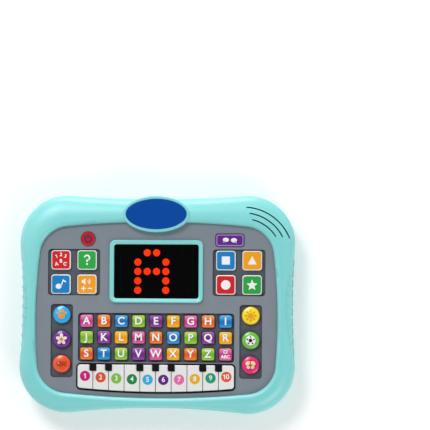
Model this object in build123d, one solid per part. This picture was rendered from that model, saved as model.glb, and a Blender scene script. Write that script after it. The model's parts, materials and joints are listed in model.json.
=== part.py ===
from build123d import *

import math
import os

# A flat battery-powered learning tablet for small children, lying on its back.
# X runs to the right, Y up the playing face and Z out of it. The origin is on the table, in the
# middle of the case. All sizes are in millimetres.

# ---- case outline: four large round lobes joined by shallow concave sides --------------------------
case_length = 246.4          # over the two lower lobes
case_depth = 194.0           # over the upper and lower lobes
lobe_radius = 42.0
upper_lobe_taper = 0.2       # each upper lobe stands this much nearer the middle
side_waist = 2.0             # how far the middle of a side lies inside its two lobes
upper_waist = 3.0
lower_waist = 4.6

# ---- case heights and walls ------------------------------------------------------------------------
foot_height = 1.0
foot_radius = 8.0
foot_inset = 26.0            # centre of a foot, inwards from its lobe's far point
rear_height = 14.0
front_wall_height = 6.0      # upright part of the front shell, above the seam
crown_height = 12.0          # rounded part above it
wall = 2.4
base_radius = 7.0
crown_sections = 5
seam_bevel = 0.4             # on both shells, so that a fine groove runs round the case
lip_thickness = 2.4
lip_radius = 3.4
crest_land = 4.0             # from the deck opening out to the highest line of the rim

# ---- ribs and label on the rear shell's floor -----------------------------------------------------
floor_rib_width = 1.2
floor_rib_height = 3.0
floor_rib_reach = 88.0       # half length of the two long ribs
floor_ribs_y = (-62.0, -34.0)
floor_ribs_x = (-72.0, -36.0, 0.0, 36.0, 72.0)
label_y = -48.0              # bare recess for a rating label, outside
label_width = 60.0
label_depth = 24.0
label_recess = 0.4

# ---- deck, the grey plate that carries the buttons -------------------------------------------------
rim_side = 16.7              # from the lobe's far point in to the deck opening's corner
rim_upper = 27.5
rim_lower = 17.5
deck_corner_radius = 27.0
deck_taper = 2.0             # the opening's upper corners stand this much nearer the middle
deck_side_bulge = 2.4
deck_upper_bulge = 3.8
deck_lower_bulge = 3.9
deck_drop = 4.5              # below the crest of the rim
deck_thickness = 2.5
deck_lap = 3.0               # hidden edge clamped under the rim's lip
tray_depth = 2.0
tray_wall = 1.2
tray_corner_radius = 3.0

# ---- fits ------------------------------------------------------------------------------------------
fit_gap = 0.05               # between fixed pieces
running_gap = 0.35           # between a button and its hole
flange_gap = 0.1             # between a button's flange and the deck above it
contact_gap = 0.2            # left above a rubber dome when a button is fully down

# ---- buttons ---------------------------------------------------------------------------------------
flange_thickness = 1.0
flange_reach = 0.8
stem_radius = 2.5            # half width of a square stem
edge_bevel = 0.7

keyboard_columns = 9
keyboard_rows = 3
keyboard_y = -29.6
key_pitch_x = 15.5
key_pitch_y = 14.55
key_width = 12.0
key_depth = 11.3
key_corner_radius = 2.2
key_rise = 2.8               # above the floor of its tray
key_travel = 1.2

square_block_x = 73.6
square_block_y = 28.4
square_pitch_x = 23.35
square_pitch_y = 21.65
square_size = 17.3
square_corner_radius = 2.5
square_rise = 3.2
square_travel = 1.5
square_margin_x = 3.1
square_margin_y = 1.2

round_strip_x = 84.3
round_strip_y = -32.8
round_middle_y = -31.5
round_pitch = 21.9
round_radius = 8.0
round_rise = 3.4             # at the button's rim
round_dome = 1.4             # further rise at its middle
round_travel = 2.0
round_strip_width = 20.0
round_strip_length = 65.4

pill_x = 65.4
pill_y = 57.2
pill_width = 25.4
pill_depth = 11.4
pill_corner_radius = 2.5
power_x = -61.0
power_y = 58.0
power_radius = 6.4
small_rise = 1.2             # language and power buttons above the deck
small_travel = 1.0

# ---- piano -----------------------------------------------------------------------------------------
piano_keys = 10
piano_pitch = 14.0
piano_top_y = -53.6
piano_end_y = -75.0          # front edge at the two ends of the row
piano_front_bow = 3.3        # the middle of the front edge is this much lower
piano_corner_radius = 3.0
piano_rise = 1.6             # white keys above the deck
piano_slit = 0.6
piano_side_gap = 0.3         # inside the surround, at both ends and along the top
piano_front_gap = 0.6        # the same in front, where the keys swing
piano_key_thickness = 5.0
piano_swing = 5.0            # degrees at the end of a press
surround_width = 0.7
surround_gap = 0.3
surround_rise = 0.6
black_key_width = 5.3
black_key_length = 5.4
black_key_rise = 1.0         # above the white keys
black_key_gap = 0.4
black_key_after = (1, 2, 4, 5, 6, 8, 9)
comb_rail_depth = 3.8
comb_rail_height = 2.4
comb_pin_radius = 1.2
comb_pin_length = 3.2
comb_dome_arm = 14.0         # from the hinge to each key's rubber dome
comb_foot = 3.6

# ---- display ---------------------------------------------------------------------------------------
display_y = 29.3
display_width = 75.6
display_depth = 48.2
display_corner_radius = 2.0
bezel_width = 3.8
bezel_corner_radius = 5.2
bezel_rise = 2.4
bezel_round = 1.1
window_thickness = 1.5
window_lap = 1.7             # hidden edge under the bezel
window_ledge = 2.0           # deck ledge that the window lies on
led_columns = 7
led_rows = 5
led_pitch = 8.35
led_radius = 3.5
led_relief = 0.3
led_depth_below = 0.6        # air between the window and the lenses
led_margin = 3.0             # module edge beyond the outer dots

# ---- badge -----------------------------------------------------------------------------------------
badge_y = 80.2
badge_half_width = 27.2
badge_half_depth = 13.6
badge_rim = 2.5
badge_thickness = 1.4
badge_proud = 0.4
boss_rise = 1.0              # above the crest of the rim
boss_round = 0.9

# ---- sound and grips -------------------------------------------------------------------------------
slot_count = 3
slot_first_radius = 33.8     # about the deck opening's corner centre
slot_pitch = 5.1
slot_width = 1.1
slot_direction = 54.5        # degrees
slot_half_angle = 22.5       # degrees, on the inner slot
slot_angle_step = 5.0        # degrees more on each next slot
speaker_radius = 14.5
speaker_distance = 28.5      # from the deck opening's corner centre
speaker_flange = 1.2
speaker_basket_depth = 5.0
speaker_magnet_radius = 8.0
speaker_magnet_height = 4.0
speaker_ring_wall = 1.6
speaker_cap_radius = 4.2     # dust cap in the middle of the cone
grip_y = -2.0
grip_half_length = 40.0
grip_width = 6.5
grip_depth = 0.8
grip_ribs = 9
grip_rib_pitch = 8.6
grip_rib_width = 2.4

# ---- electronics -----------------------------------------------------------------------------------
dome_clearance = 3.0         # from the flange of a tray button down to the rubber domes
dome_height = 1.8
dome_radius = 3.6
dome_top_radius = 2.2
dome_sides = 8
membrane_thickness = 1.0
membrane_inset = 1.0
board_thickness = 1.6
board_half_width = 96.0
board_low_y = -78.0
board_middle_y = 2.0         # upper edge in front of the battery box
board_wing_y = 48.0
board_ear_y = 64.0           # small ears under the language and power buttons
board_ear_x = (53.0, 77.0)
board_gap = 2.5              # from the battery box to each wing
board_corner_radius = 5.0
board_post_radius = 3.0
chip_height = 1.4            # packages under the board: x, y, width and depth
chips = ((-8.0, -40.0, 12.0, 12.0), (-52.0, -46.0, 18.0, 7.6),
         (46.0, -46.0, 18.0, 7.6), (16.0, -22.0, 8.0, 5.0))
board_posts = ((88.0, -68.0), (88.0, -1.0), (30.0, -68.0), (30.0, -8.0), (56.0, 30.0))

# ---- batteries -------------------------------------------------------------------------------------
battery_count = 3
battery_y = 33.0
battery_radius = 7.25
battery_length = 50.5
battery_tip_radius = 2.75
battery_tip_length = 1.3
battery_gap = 0.7            # between neighbouring cells
contact_space = 3.2
contact_plate = 0.5
contact_plate_size = 11.0
contact_spring_radius = 4.2
box_roof = 1.8
box_wall = 1.6
door_thickness = 2.0
door_ledge = 2.0
door_gap = 0.3
door_corner_radius = 3.0
door_tab_radius = 6.5
door_tab_reach = 3.0
door_boss_height = 13.0
door_ridges = 5              # finger ridges near the screw
door_ridge_pitch = 2.4
door_ridge_width = 1.0
door_ridge_length = 16.0
door_ridge_height = 0.6
door_ridge_start = 5.0       # from the door's edge to the first ridge

# ---- screws ----------------------------------------------------------------------------------------
screw_head_radius = 2.8
screw_head_height = 2.0
screw_slot_length = 3.4
screw_slot_width = 0.8
screw_shaft_radius = 1.3
screw_gap = 0.2
screw_head_depth = 8.0       # from the outside of the rear shell to the seat of the head
screw_grip = 14.0            # from the seat of the head to the point
post_wall = 1.5
pilot_clearance = 1.0
upper_post = (-18.0, 29.0)   # from the upper lobe's centre
lower_post = (22.0, -24.0)   # from the lower lobe's centre
door_screw_grip = 8.0
door_screw_head = 1.0        # low head, flush with the outside of the door

# ---- levels worked out from the sizes above --------------------------------------------------------
floor_z = foot_height + wall
seam_z = foot_height + rear_height
shoulder_z = seam_z + front_wall_height
crest_z = shoulder_z + crown_height
deck_z = crest_z - deck_drop
deck_under_z = deck_z - deck_thickness
tray_z = deck_z - tray_depth
tray_under_z = tray_z - deck_thickness
dome_z = tray_under_z - flange_gap - flange_thickness - dome_clearance
membrane_z = dome_z - dome_height
board_z = membrane_z - membrane_thickness
board_under_z = board_z - board_thickness

lobe_low = (case_length / 2 - lobe_radius, lobe_radius - case_depth / 2)
lobe_high = (lobe_low[0] - upper_lobe_taper, case_depth / 2 - lobe_radius)
deck_low = (case_length / 2 - rim_side - deck_corner_radius,
            rim_lower + deck_corner_radius - case_depth / 2)
deck_high = (deck_low[0] - deck_taper, case_depth / 2 - rim_upper - deck_corner_radius)

piano_z = deck_z + piano_rise
comb_z = piano_z - piano_key_thickness
hinge_y = piano_top_y - piano_side_gap - comb_rail_depth / 2
hinge_z = comb_z - comb_rail_height / 2
comb_pin_reach = piano_keys * piano_pitch / 2 + surround_gap + surround_width + comb_pin_length

battery_pitch = 2 * battery_radius + battery_gap
box_length = battery_length + 2 * (contact_space + contact_plate)
box_depth = battery_count * battery_pitch
door_length = box_length + 2 * door_ledge
door_depth = box_depth + 2 * door_ledge
door_top_z = foot_height + door_thickness
battery_z = door_top_z + door_gap + battery_radius
box_ceiling_z = battery_z + battery_radius + door_gap
box_roof_z = box_ceiling_z + box_roof
door_tab_y = battery_y - door_depth / 2 - door_tab_reach

speaker_flange_z = deck_under_z - 2 * speaker_flange - running_gap
speaker_angle = math.radians(slot_direction)
speaker_x = deck_high[0] + speaker_distance * math.cos(speaker_angle)
speaker_y = deck_high[1] + speaker_distance * math.sin(speaker_angle)

case_posts = [(lobe_high[0] + upper_post[0], lobe_high[1] + upper_post[1]),
              (-lobe_high[0] - upper_post[0], lobe_high[1] + upper_post[1]),
              (lobe_low[0] + lower_post[0], lobe_low[1] + lower_post[1]),
              (-lobe_low[0] - lower_post[0], lobe_low[1] + lower_post[1])]

parts = {}


# ---- shapes used by several pieces -----------------------------------------------------------------
def case_shape(grow=0.0):
    """Corner centres, radius and side distances of the case outline, grown by a distance."""
    return (lobe_low, lobe_high, lobe_radius + grow,
            (lobe_radius - side_waist + grow, lobe_radius - upper_waist + grow,
             lobe_radius - lower_waist + grow))


def deck_shape(grow=0.0):
    """The same for the opening in which the deck shows."""
    radius = deck_corner_radius + grow
    return (deck_low, deck_high, radius,
            (radius + deck_side_bulge, radius + deck_upper_bulge, radius + deck_lower_bulge))


def blend_shape(first, second, share):
    """An outline part of the way from one to another."""
    def mix(a, b):
        return a + (b - a) * share
    low = tuple(mix(a, b) for a, b in zip(first[0], second[0]))
    high = tuple(mix(a, b) for a, b in zip(first[1], second[1]))
    reach = tuple(mix(a, b) for a, b in zip(first[3], second[3]))
    return low, high, mix(first[2], second[2]), reach


def outline(shape):
    """Face bounded by four corner arcs and four side arcs, each tangent to its neighbours."""
    low, high, radius, (side, upper, lower) = shape
    corners = [Vector(low[0], low[1]), Vector(high[0], high[1]),
               Vector(-high[0], high[1]), Vector(-low[0], low[1])]
    sides = []
    for i, reach in enumerate((side, upper, side, lower)):
        a, b = corners[i], corners[(i + 1) % 4]
        along = (b - a).normalized()
        out = Vector(along.Y, -along.X)
        half = (b - a).length / 2
        dip = radius - reach
        middle = (a + b) * 0.5
        centre = middle + out * ((half ** 2 - dip ** 2) / (2 * dip))
        turn = radius if dip > 0 else -radius
        sides.append((a + (centre - a).normalized() * turn, middle + out * reach,
                      b + (centre - b).normalized() * turn))
    edges = []
    for i, (start, middle, end) in enumerate(sides):
        corner = corners[(i + 1) % 4]
        following = sides[(i + 1) % 4][0]
        outwards = ((end - corner) + (following - corner)).normalized()
        edges.append(ThreePointArc(start, middle, end))
        edges.append(ThreePointArc(end, corner + outwards * radius, following))
    return Face(Wire(edges))


def prism(face, low, high):
    """A flat face in the XY plane raised from one level to another."""
    return extrude(Pos(0, 0, low) * face, amount=high - low, dir=(0, 0, 1))


def block(x0, x1, y0, y1, low, high):
    return Pos((x0 + x1) / 2, (y0 + y1) / 2, (low + high) / 2) * Box(x1 - x0, y1 - y0, high - low)


def pillar(x, y, radius, low, high):
    return Pos(x, y, (low + high) / 2) * Cylinder(radius, high - low)


def rounded(width, depth, radius, x=0.0, y=0.0):
    return Pos(x, y) * RectangleRounded(width, depth, min(radius, 0.49 * min(width, depth)))


def edges_at(solid, level):
    """Edges that lie flat at one level."""
    return [e for e in solid.edges()
            if abs(e.bounding_box().min.Z - level) < 1e-4 and abs(e.bounding_box().max.Z - level) < 1e-4]


def crowned_body(shrink):
    """The front shell's outer form, or the same drawn in by a wall.

    Above an upright wall the outline turns from the lobed case to the barrel-shaped crest
    while it climbs a quarter of an ellipse.
    """
    outer = case_shape(-shrink)
    crest = deck_shape(crest_land)
    sections = []
    for i in range(crown_sections):
        angle = math.pi / 2 * i / (crown_sections - 1)
        level = shoulder_z + (crown_height - shrink) * math.sin(angle)
        sections.append(Pos(0, 0, level) * outline(blend_shape(outer, crest, 1 - math.cos(angle))))
    return prism(outline(outer), seam_z, shoulder_z) + loft(sections)


# ---- button places ---------------------------------------------------------------------------------
def key_places():
    """Centres of the letter keys, row by row from the upper left."""
    return [((column - (keyboard_columns - 1) / 2) * key_pitch_x,
             keyboard_y + ((keyboard_rows - 1) / 2 - row) * key_pitch_y)
            for row in range(keyboard_rows) for column in range(keyboard_columns)]


def square_places(side):
    """Upper inner, upper outer, lower inner and lower outer place of one block, side -1 or 1."""
    return [(side * (square_block_x + column * square_pitch_x / 2),
             square_block_y + row * square_pitch_y / 2)
            for row in (1, -1) for column in (-1, 1)]


def round_places(side):
    return [(side * round_strip_x, round_middle_y + row * round_pitch) for row in (1, 0, -1)]


def piano_places():
    return [((i - (piano_keys - 1) / 2) * piano_pitch, hinge_y - comb_dome_arm)
            for i in range(piano_keys)]


def piano_field(grow, front_grow=None):
    """Outline of the row of white keys: straight at the top, bowed along the front."""
    front = grow if front_grow is None else front_grow
    x = piano_keys * piano_pitch / 2 + grow
    top = piano_top_y + grow
    end = piano_end_y - front
    edges = [Line((x, end), (x, top)), Line((x, top), (-x, top)), Line((-x, top), (-x, end)),
             ThreePointArc((-x, end), (0, end - piano_front_bow), (x, end))]
    face = Face(Wire(edges))
    return fillet(face.vertices(), piano_corner_radius + grow)


# ---- case ------------------------------------------------------------------------------------------
def speaker_slots():
    """Narrow arcs cut through the rim over the speaker."""
    cuts = []
    for i in range(slot_count):
        radius = slot_first_radius + i * slot_pitch
        half = slot_half_angle + i * slot_angle_step
        ends = [Vector(radius, 0).rotate(Axis.Z, slot_direction + turn) for turn in (-half, 0, half)]
        centre = Vector(deck_high[0], deck_high[1])
        path = ThreePointArc(*[centre + end for end in ends])
        band = trace(path, line_width=slot_width)
        cuts.append(prism(band, deck_under_z, crest_z + boss_rise))
    return cuts


def grip_pockets(outer):
    """Shallow crescents in both sides of the rim, crossed by ribs that are left standing."""
    skin = outer - crowned_body(grip_depth)
    waist_x = (lobe_low[0] + lobe_high[0]) / 2 + lobe_radius - side_waist
    radius = (grip_half_length ** 2 + grip_width ** 2) / (2 * grip_width)
    pockets = []
    for side in (-1, 1):
        x = side * (waist_x - grip_width + radius)
        crescent = pillar(x, grip_y, radius, seam_z + wall, crest_z)
        for i in range(grip_ribs):
            y = grip_y + (i - (grip_ribs - 1) / 2) * grip_rib_pitch
            crescent -= block(x - radius, x + radius, y - grip_rib_width / 2, y + grip_rib_width / 2,
                              seam_z, crest_z)
        pockets.append(skin & crescent)
    return pockets


def badge_boss():
    """Oval boss for the badge, standing on the deck and on the upper rim."""
    oval = Pos(0, badge_y) * Ellipse(badge_half_width + badge_rim, badge_half_depth + badge_rim)
    boss = prism(oval, shoulder_z, crest_z + boss_rise)
    boss = fillet(edges_at(boss, crest_z + boss_rise), boss_round)
    return boss - prism(outline(deck_shape(deck_lap + fit_gap)), seam_z, deck_z)


def make_front_shell():
    outer = crowned_body(0)
    outer = chamfer(edges_at(outer, seam_z), seam_bevel)
    opening = outline(deck_shape())
    body = outer - prism(opening, seam_z, crest_z)
    rim = opening.outer_wire().moved(Location((0, 0, crest_z)))
    body = fillet([e for e in edges_at(body, crest_z) if e.distance_to(rim) < 1e-3], lip_radius)
    lip = prism(outline(deck_shape(lip_thickness)), deck_z, crest_z)
    hollow = crowned_body(wall) - lip
    posts = [pillar(x, y, screw_shaft_radius + screw_gap + post_wall, seam_z, crest_z)
             for x, y in case_posts]
    inner_posts = [post & hollow for post in posts]
    shell = body - hollow + inner_posts + badge_boss()
    for x, y in case_posts:
        top = foot_height + screw_head_depth + screw_grip + pilot_clearance
        shell -= pillar(x, y, screw_shaft_radius + screw_gap, seam_z, top)
    pocket = Pos(0, badge_y) * Ellipse(badge_half_width + fit_gap, badge_half_depth + fit_gap)
    floor = crest_z + boss_rise + badge_proud - badge_thickness
    shell -= prism(pocket, floor, crest_z + 2 * boss_rise)
    for cut in speaker_slots() + grip_pockets(outer):
        shell -= cut
    return shell


def make_rear_shell():
    body = prism(outline(case_shape()), foot_height, seam_z)
    body = fillet(edges_at(body, foot_height), base_radius)
    body = chamfer(edges_at(body, seam_z), seam_bevel)
    hollow = prism(outline(case_shape(-wall)), floor_z, seam_z)
    hollow = fillet(edges_at(hollow, floor_z), base_radius - wall)
    shell = body - hollow

    post_radius = screw_head_radius + screw_gap + post_wall
    additions = [pillar(x, y, post_radius, foot_height, seam_z) for x, y in case_posts]
    additions += [pillar(side * x, y, board_post_radius, foot_height, board_under_z)
                  for x, y in board_posts for side in (-1, 1)]
    additions.append(pillar(speaker_x, speaker_y, speaker_radius, foot_height, speaker_flange_z))
    outer = rounded(door_length + 2 * (door_gap + box_wall), door_depth + 2 * (door_gap + box_wall),
                    door_corner_radius + door_gap + box_wall, 0, battery_y)
    additions.append(prism(outer, foot_height, box_roof_z))
    additions.append(pillar(0, door_tab_y, door_tab_radius + door_gap + box_wall,
                            foot_height, door_boss_height))
    for x, y in (lobe_low, lobe_high):
        for side in (-1, 1):
            reach = (lobe_radius - foot_inset) / math.sqrt(2)
            additions.append(pillar(side * (x + reach), y + math.copysign(reach, y),
                                    foot_radius, 0, floor_z))
    rib_z = floor_z + floor_rib_height
    for y in floor_ribs_y:
        additions.append(block(-floor_rib_reach, floor_rib_reach, y - floor_rib_width / 2,
                               y + floor_rib_width / 2, foot_height + label_recess, rib_z))
    for x in floor_ribs_x:
        additions.append(block(x - floor_rib_width / 2, x + floor_rib_width / 2, floor_ribs_y[0],
                               floor_ribs_y[1], foot_height + label_recess, rib_z))
    shell += additions

    cuts = [prism(rounded(label_width, label_depth, tray_corner_radius, 0, label_y),
                  foot_height, foot_height + label_recess)]
    cuts.append(pillar(speaker_x, speaker_y, speaker_radius - speaker_ring_wall, floor_z, speaker_flange_z))
    cuts.append(block(-box_length / 2, box_length / 2, battery_y - box_depth / 2,
                      battery_y + box_depth / 2, foot_height, box_ceiling_z))
    cuts.append(prism(door_outline(door_gap), foot_height, door_top_z + flange_gap))
    cuts.append(pillar(0, door_tab_y, screw_shaft_radius + door_gap, foot_height, door_boss_height - wall))
    for x, y in case_posts:
        seat = foot_height + screw_head_depth
        cuts.append(pillar(x, y, screw_head_radius + screw_gap, 0, seat))
        cuts.append(pillar(x, y, screw_shaft_radius + screw_gap, seat, seam_z))
    for cut in cuts:
        shell -= cut
    return shell


# ---- deck and display ------------------------------------------------------------------------------
def trays():
    """Outlines of the five sunk trays: width, depth, x and y."""
    found = [(keyboard_columns * key_pitch_x, keyboard_rows * key_pitch_y, 0, keyboard_y)]
    for side in (-1, 1):
        found.append((square_pitch_x + square_size + 2 * square_margin_x,
                      square_pitch_y + square_size + 2 * square_margin_y,
                      side * square_block_x, square_block_y))
        found.append((round_strip_width, round_strip_length, side * round_strip_x, round_strip_y))
    return found


def make_deck_plate():
    plate = prism(outline(deck_shape(deck_lap)), deck_under_z, deck_z)
    for width, depth, x, y in trays():
        plate += prism(rounded(width + 2 * tray_wall, depth + 2 * tray_wall,
                               tray_corner_radius + tray_wall, x, y), tray_under_z, deck_under_z)
    for side in (-1, 1):
        x = side * (piano_keys * piano_pitch / 2 + surround_gap + surround_width)
        lug_end = x + side * comb_pin_length
        plate += block(min(x, lug_end), max(x, lug_end), hinge_y - 2 * comb_pin_radius - running_gap,
                       hinge_y + 2 * comb_pin_radius + running_gap,
                       hinge_z - 2 * comb_pin_radius, deck_under_z)
    for width, depth, x, y in trays():
        plate -= prism(rounded(width, depth, tray_corner_radius, x, y), tray_z, deck_z)

    holes = [rounded(key_width + 2 * running_gap, key_depth + 2 * running_gap,
                     key_corner_radius + running_gap, x, y) for x, y in key_places()]
    size = square_size + 2 * running_gap
    holes += [rounded(size, size, square_corner_radius + running_gap, x, y)
              for side in (-1, 1) for x, y in square_places(side)]
    holes += [Pos(x, y) * Circle(round_radius + running_gap)
              for side in (-1, 1) for x, y in round_places(side)]
    holes.append(rounded(pill_width + 2 * running_gap, pill_depth + 2 * running_gap,
                         pill_corner_radius + running_gap, pill_x, pill_y))
    holes.append(Pos(power_x, power_y) * Circle(power_radius + running_gap))
    holes.append(piano_field(surround_gap + surround_width + fit_gap))
    window_w = display_width + 2 * window_lap
    window_d = display_depth + 2 * window_lap
    holes.append(rounded(window_w - 2 * window_ledge, window_d - 2 * window_ledge,
                         display_corner_radius, 0, display_y))
    for hole in holes:
        plate -= prism(hole, tray_under_z, deck_z)
    plate -= prism(rounded(window_w + 2 * fit_gap, window_d + 2 * fit_gap, display_corner_radius,
                           0, display_y), deck_z - window_thickness, deck_z)
    pin_room = Pos(0, hinge_y, hinge_z) * Rot(0, 90, 0) * Cylinder(comb_pin_radius + running_gap,
                                                                  2 * comb_pin_reach)
    return plate - pin_room


def make_screen_bezel():
    width = display_width + 2 * bezel_width
    depth = display_depth + 2 * bezel_width
    ring = prism(rounded(width, depth, bezel_corner_radius, 0, display_y), deck_z, deck_z + bezel_rise)
    ring -= prism(rounded(display_width, display_depth, display_corner_radius, 0, display_y),
                  deck_z, deck_z + bezel_rise)
    return fillet(edges_at(ring, deck_z + bezel_rise), bezel_round)


def make_display_window():
    return prism(rounded(display_width + 2 * window_lap, display_depth + 2 * window_lap,
                         display_corner_radius, 0, display_y), deck_z - window_thickness, deck_z)


def make_led_matrix():
    """Dot matrix module: a black block with one low six-sided lens for each dot."""
    width = (led_columns - 1) * led_pitch + 2 * (led_radius + led_margin)
    depth = (led_rows - 1) * led_pitch + 2 * (led_radius + led_margin / 2)
    face_z = deck_z - window_thickness - led_relief - led_depth_below
    module = block(-width / 2, width / 2, display_y - depth / 2, display_y + depth / 2,
                   box_roof_z, face_z)
    for column in range(led_columns):
        for row in range(led_rows):
            x = (column - (led_columns - 1) / 2) * led_pitch
            y = display_y + (row - (led_rows - 1) / 2) * led_pitch
            module += prism(Pos(x, y) * RegularPolygon(led_radius, 6), face_z, face_z + led_relief)
    return module


def make_badge():
    top = crest_z + boss_rise + badge_proud
    oval = Pos(0, badge_y) * Ellipse(badge_half_width, badge_half_depth)
    badge = prism(oval, top - badge_thickness, top)
    return fillet(edges_at(badge, top), badge_proud)


# ---- electronics -----------------------------------------------------------------------------------
def board_face(inset):
    """U-shaped outline: the main board, a wing on each side of the battery box and two small ears."""
    inner_x = door_length / 2 + door_gap + box_wall + board_gap
    x, low = board_half_width - inset, board_low_y + inset
    face = rounded(2 * x, board_middle_y - inset - low, board_corner_radius - inset,
                   0, (board_middle_y - inset + low) / 2)
    for side in (-1, 1):
        wing_low, wing_high = low, board_wing_y - inset
        face += rounded(x - inner_x - inset, wing_high - wing_low, board_corner_radius - inset,
                        side * (x + inner_x + inset) / 2, (wing_high + wing_low) / 2)
        near, far = board_ear_x[0] + inset, board_ear_x[1] - inset
        face += Pos(side * (near + far) / 2, (board_wing_y + board_ear_y) / 2 - inset) * Rectangle(
            far - near, board_ear_y - board_wing_y)
    return face


def make_circuit_board():
    board = prism(board_face(0), board_under_z, board_z)
    for x, y, width, depth in chips:
        board += block(x - width / 2, x + width / 2, y - depth / 2, y + depth / 2,
                       board_under_z - chip_height, board_under_z)
    return board


def make_key_membrane():
    """Rubber sheet with one dome under every button."""
    sheet = prism(board_face(membrane_inset), board_z, membrane_z)
    places = key_places() + piano_places() + [(pill_x, pill_y), (power_x, power_y)]
    for side in (-1, 1):
        places += square_places(side) + round_places(side)
    dome = loft([Pos(0, 0, membrane_z) * RegularPolygon(dome_radius, dome_sides),
                 Pos(0, 0, dome_z) * RegularPolygon(dome_top_radius, dome_sides)])
    return sheet + [Pos(x, y) * dome for x, y in places]


def make_speaker():
    flange_top = speaker_flange_z + speaker_flange
    neck = speaker_flange_z - speaker_basket_depth
    inner = speaker_radius - speaker_ring_wall - running_gap
    low = neck - speaker_magnet_height
    profile = Polyline((0, low), (speaker_magnet_radius, low), (speaker_magnet_radius, neck),
                       (inner, speaker_flange_z), (speaker_radius, speaker_flange_z),
                       (speaker_radius, flange_top), (inner, flange_top),
                       (speaker_cap_radius, neck + speaker_basket_depth / 2), (0, speaker_flange_z), close=True)
    spun = revolve(Plane.XZ * Face(Wire(profile.edges())), axis=Axis.Z)
    return Pos(speaker_x, speaker_y) * spun


def battery_rows():
    return [battery_y + (i - (battery_count - 1) / 2) * battery_pitch for i in range(battery_count)]


def make_batteries():
    """Round cells side by side, each turned end for end from its neighbour."""
    cells = []
    for i, y in enumerate(battery_rows()):
        way = 1 if i % 2 else -1
        can = battery_length - battery_tip_length
        cell = Pos(-way * battery_tip_length / 2, 0, 0) * Rot(0, 90, 0) * Cylinder(battery_radius, can)
        tip_x = way * (battery_length - battery_tip_length) / 2
        cell += Pos(tip_x, 0, 0) * Rot(0, 90, 0) * Cylinder(battery_tip_radius, battery_tip_length)
        cells.append(Pos(0, y, battery_z) * cell)
    return Compound(cells)


def make_battery_contacts():
    """Spring plates at both ends of every cell."""
    plates = []
    length = contact_space - fit_gap
    for y in battery_rows():
        for side in (-1, 1):
            x = side * (box_length - contact_plate) / 2
            plate = Pos(x, y, battery_z) * Box(contact_plate, contact_plate_size, contact_plate_size)
            spring_x = side * (box_length / 2 - contact_plate - length / 2)
            spring = Pos(spring_x, y, battery_z) * Rot(0, -90 * side, 0) * Cone(
                contact_spring_radius, battery_tip_radius, length)
            plates.append(plate + spring)
    return Compound(plates)


def door_outline(grow):
    face = rounded(door_length + 2 * grow, door_depth + 2 * grow, door_corner_radius + grow, 0, battery_y)
    return face + Pos(0, door_tab_y) * Circle(door_tab_radius + grow)


def make_battery_door():
    door = prism(door_outline(0), foot_height, door_top_z)
    seat = foot_height + door_screw_head
    for i in range(door_ridges):
        y = battery_y - door_depth / 2 + door_ridge_start + i * door_ridge_pitch
        door += block(-door_ridge_length / 2, door_ridge_length / 2, y - door_ridge_width / 2,
                      y + door_ridge_width / 2, foot_height - door_ridge_height, foot_height)
    door -= pillar(0, door_tab_y, screw_head_radius + screw_gap, foot_height, seat)
    return door - pillar(0, door_tab_y, screw_shaft_radius + screw_gap, seat, door_top_z)


def screw(x, y, seat_z, grip, head_height):
    """Pan-head screw standing point up, its head under the seat."""
    body = pillar(x, y, screw_shaft_radius, seat_z - head_height / 2, seat_z + grip)
    head = pillar(x, y, screw_head_radius, seat_z - head_height, seat_z)
    slot = block(x - screw_slot_length / 2, x + screw_slot_length / 2, y - screw_slot_width / 2,
                 y + screw_slot_width / 2, seat_z - head_height, seat_z - head_height / 2)
    return body + head - slot


def make_case_screws():
    seat = foot_height + screw_head_depth
    return Compound([screw(x, y, seat, screw_grip, screw_head_height) for x, y in case_posts])


# ---- buttons ---------------------------------------------------------------------------------------
def button(width, depth, radius, top_z, under_z, travel, x, y):
    """A moulded cap with bevelled top, a flange under the deck and a stem towards its dome.

    under_z is the underside of the deck round the button's hole.
    """
    flange_top = under_z - flange_gap
    cap = prism(rounded(width, depth, radius, x, y), flange_top, top_z)
    cap = chamfer(edges_at(cap, top_z), edge_bevel)
    flange = Pos(x, y) * Rectangle(width + 2 * flange_reach, depth + 2 * flange_reach)
    cap += prism(flange, flange_top - flange_thickness, flange_top)
    return cap + block(x - stem_radius, x + stem_radius, y - stem_radius, y + stem_radius,
                       dome_z + travel + contact_gap, flange_top)


def letter_key(x, y):
    return button(key_width, key_depth, key_corner_radius, tray_z + key_rise, tray_under_z,
                  key_travel, x, y)


def square_button(x, y):
    return button(square_size, square_size, square_corner_radius, tray_z + square_rise,
                  tray_under_z, square_travel, x, y)


def round_button(x, y):
    """Domed button, turned in one profile."""
    flange_top = tray_under_z - flange_gap
    flange_low = flange_top - flange_thickness
    foot = dome_z + round_travel + contact_gap
    rim = tray_z + round_rise
    crown = rim + round_dome
    side = round_radius
    edge = side - edge_bevel
    sphere = (edge ** 2 + round_dome ** 2) / (2 * round_dome)
    half_turn = math.asin(edge / sphere) / 2
    lines = Polyline((0, crown), (0, foot), (stem_radius, foot), (stem_radius, flange_low),
                     (side + flange_reach, flange_low), (side + flange_reach, flange_top),
                     (side, flange_top), (side, rim - edge_bevel))
    shoulder = Line((side, rim - edge_bevel), (edge, rim))
    half_way = (sphere * math.sin(half_turn), crown - sphere * (1 - math.cos(half_turn)))
    dome = ThreePointArc((edge, rim), half_way, (0, crown))
    profile = Face(Wire(lines.edges() + shoulder.edges() + dome.edges()))
    return Pos(x, y) * revolve(Plane.XZ * profile, axis=Axis.Z)


def language_button():
    return button(pill_width, pill_depth, pill_corner_radius, deck_z + small_rise, deck_under_z,
                  small_travel, pill_x, pill_y)


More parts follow.
